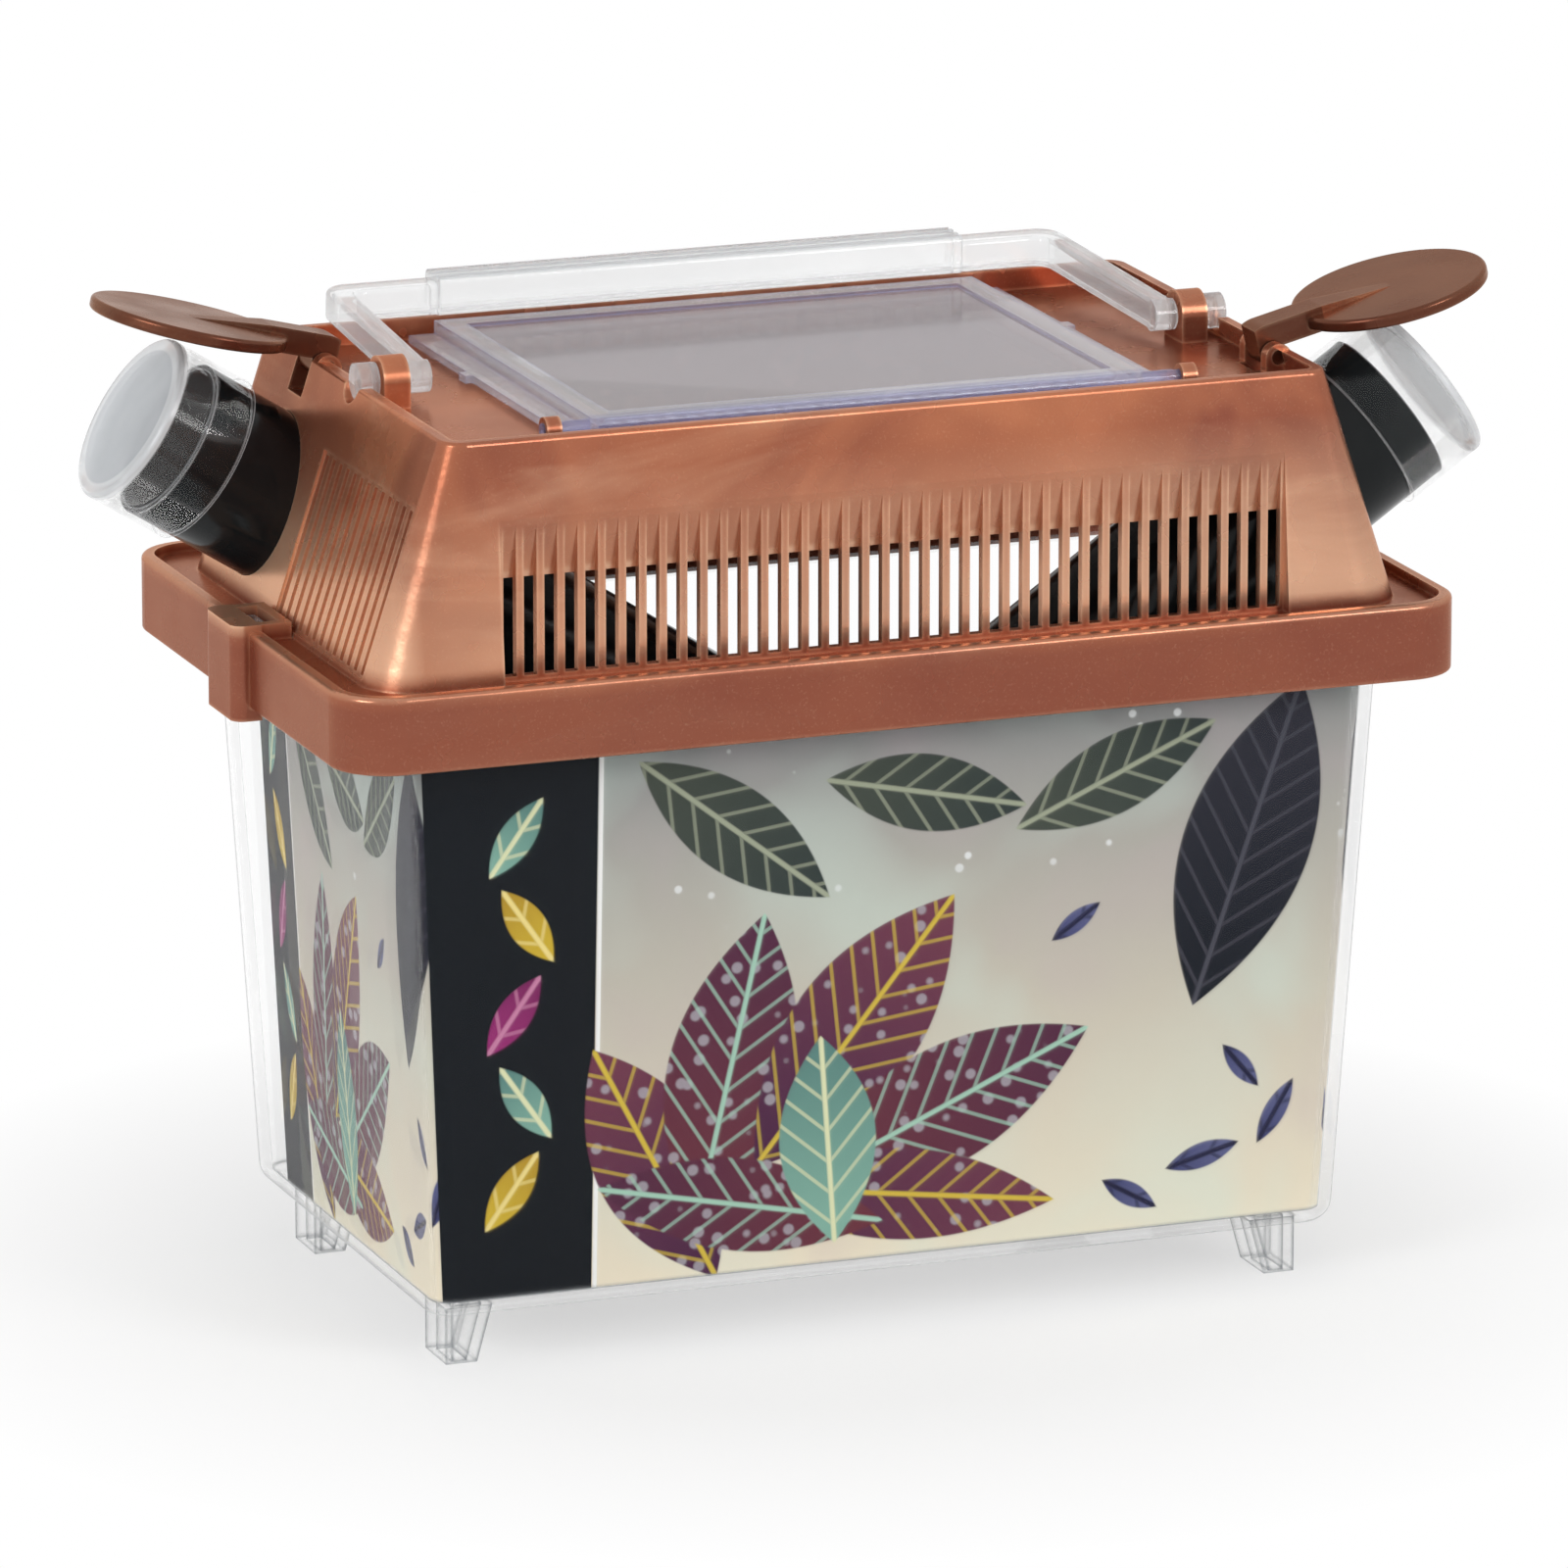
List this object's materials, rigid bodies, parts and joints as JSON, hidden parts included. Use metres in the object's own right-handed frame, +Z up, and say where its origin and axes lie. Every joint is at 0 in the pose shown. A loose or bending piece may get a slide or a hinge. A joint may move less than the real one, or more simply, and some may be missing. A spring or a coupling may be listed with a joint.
{
  "type": "cricket keeper box",
  "caption": "Clear insect keeper tank on feet with a vented hood lid, top hatch, folding handle and two slanted dispensing tubes with caps and port flaps.",
  "frame": {"origin": "centre of the footprint on the surface that the feet stand on", "axes": "+X along the length, +Y to the back (the handle's folded side), +Z up"},
  "size_m": [0.2119, 0.1072, 0.1562],
  "materials": {
    "clear_plastic": "clear, polished, injection moulded polystyrene",
    "clear_hatch_plastic": "clear, polished, faintly blue at its edges",
    "clear_cap_plastic": "clear, pushed-on cup",
    "copper_plastic": "satin, metallic copper coloured pigment",
    "black_plastic": "glossy black tube",
    "printed_card": "thin printed card behind clear plastic"
  },
  "bodies": {
    "tank": {"tank": "clear_plastic", "insert_card": "printed_card"},
    "lid": {"lid": "copper_plastic"},
    "hatch": {"hatch": "clear_hatch_plastic"},
    "handle": {"handle": "clear_plastic"},
    "left_tube": {"left_tube": "black_plastic"},
    "right_tube": {"right_tube": "black_plastic"},
    "left_cap": {"left_tube_cap": "clear_cap_plastic"},
    "right_cap": {"right_tube_cap": "clear_cap_plastic"},
    "left_flap": {"left_port_flap": "copper_plastic"},
    "right_flap": {"right_port_flap": "copper_plastic"}
  },
  "joints": [
    {"name": "lid_lift", "type": "slide", "parent": "tank", "child": "lid", "axis": [0, 0, 1], "range_m": [0, 0.13]},
    {"name": "handle_swing", "type": "hinge", "parent": "lid", "child": "handle", "pos_m": [0, 0, 0.1455], "axis": [1, 0, 0], "range_deg": [0, 172]},
    {"name": "hatch_open", "type": "hinge", "parent": "lid", "child": "hatch", "pos_m": [0, -0.0335, 0.1437], "axis": [1, 0, 0], "range_deg": [0, 100]},
    {"name": "left_tube_slide", "type": "slide", "parent": "lid", "child": "left_tube", "axis": [-0.8453, 0, 0.5344], "range_m": [0, 0.18]},
    {"name": "left_cap_turn", "type": "hinge", "parent": "left_tube", "child": "left_cap", "pos_m": [-0.09348, 0.022, 0.13362], "axis": [-0.8453, 0, 0.5344], "continuous": true},
    {"name": "left_flap_swing", "type": "hinge", "parent": "lid", "child": "left_flap", "pos_m": [-0.0694, 0.022, 0.1438], "axis": [0, 1, 0], "range_deg": [0, 78]},
    {"name": "right_tube_slide", "type": "slide", "parent": "lid", "child": "right_tube", "axis": [0.8241, 0, 0.5664], "range_m": [0, 0.18]},
    {"name": "right_cap_turn", "type": "hinge", "parent": "right_tube", "child": "right_cap", "pos_m": [0.09008, -0.022, 0.13323], "axis": [0.8241, 0, 0.5664], "continuous": true},
    {"name": "right_flap_swing", "type": "hinge", "parent": "lid", "child": "right_flap", "pos_m": [0.0694, -0.022, 0.1438], "axis": [0, -1, 0], "range_deg": [0, 78]}
  ],
  "couplings": [
    {"joint": "left_flap_swing", "follows": "left_tube_slide", "rad_per_m": 7.5631},
    {"joint": "right_flap_swing", "follows": "right_tube_slide", "rad_per_m": 7.5631}
  ]
}
